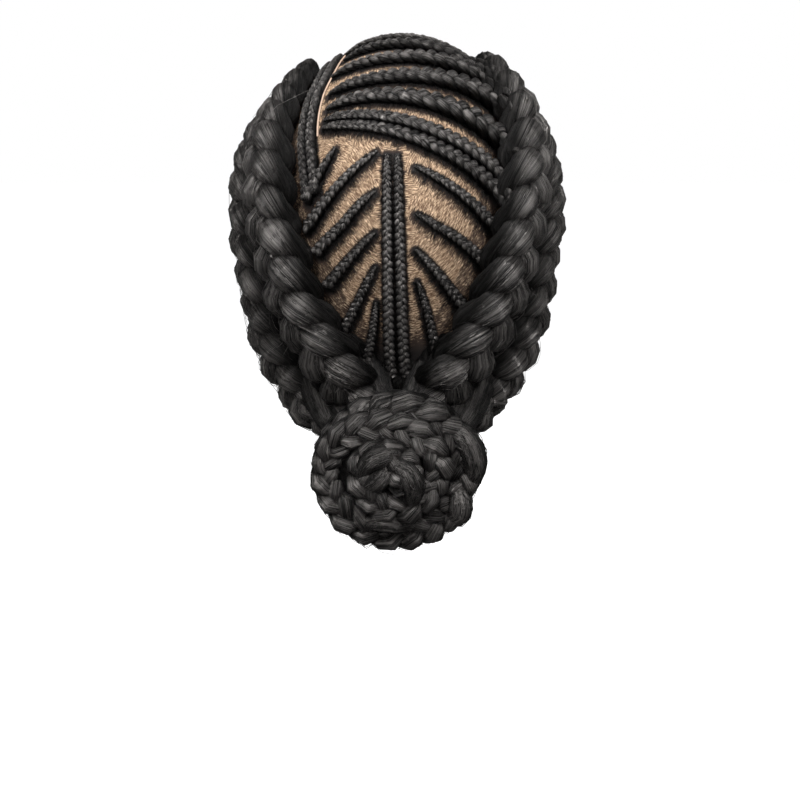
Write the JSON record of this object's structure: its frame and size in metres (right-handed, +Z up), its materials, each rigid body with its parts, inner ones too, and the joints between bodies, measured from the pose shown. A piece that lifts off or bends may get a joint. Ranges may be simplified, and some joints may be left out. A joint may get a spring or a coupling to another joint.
{
  "type": "braided wig",
  "caption": "Black braided wig: lace cap with cornrows that feed jumbo side plaits, which end in a coiled plait bun at the nape.",
  "frame": {"origin": "where the inside of the cap rests on the crown of the head", "axes": "+Z up, +Y the way the wearer faces, +X the wearer's right; the nape and the bun are at -Y"},
  "size_m": [0.2022, 0.1984, 0.2975],
  "materials": {
    "scalp_lace": "tan lace with short dark hair roots knotted into it, matt",
    "braid_hair": "black synthetic hair fibre, soft low sheen, fine loose hairs"
  },
  "bodies": {
    "root": {"bun_back_coil": "braid_hair", "bun_face_coil": "braid_hair", "bun_knot": "braid_hair", "bun_outer_coil": "braid_hair", "centre_pair_1": "braid_hair", "centre_pair_2": "braid_hair", "crown_pair_1": "braid_hair", "crown_pair_2": "braid_hair", "crown_row_1": "braid_hair", "crown_row_2": "braid_hair", "crown_row_3": "braid_hair", "crown_row_4": "braid_hair", "crown_row_5": "braid_hair", "crown_row_6": "braid_hair", "crown_row_7": "braid_hair", "crown_row_8": "braid_hair", "crown_row_9": "braid_hair", "gathered_tails": "braid_hair", "inner_jumbo_left": "braid_hair", "inner_jumbo_right": "braid_hair", "lace_cap": "scalp_lace", "left_row_1": "braid_hair", "left_row_2": "braid_hair", "left_row_3": "braid_hair", "left_row_4": "braid_hair", "left_row_5": "braid_hair", "left_row_6": "braid_hair", "outer_jumbo_left": "braid_hair", "outer_jumbo_right": "braid_hair", "parting_row_lower": "braid_hair", "parting_row_upper": "braid_hair", "right_row_1": "braid_hair", "right_row_2": "braid_hair", "right_row_3": "braid_hair", "right_row_4": "braid_hair"}
  },
  "joints": []
}
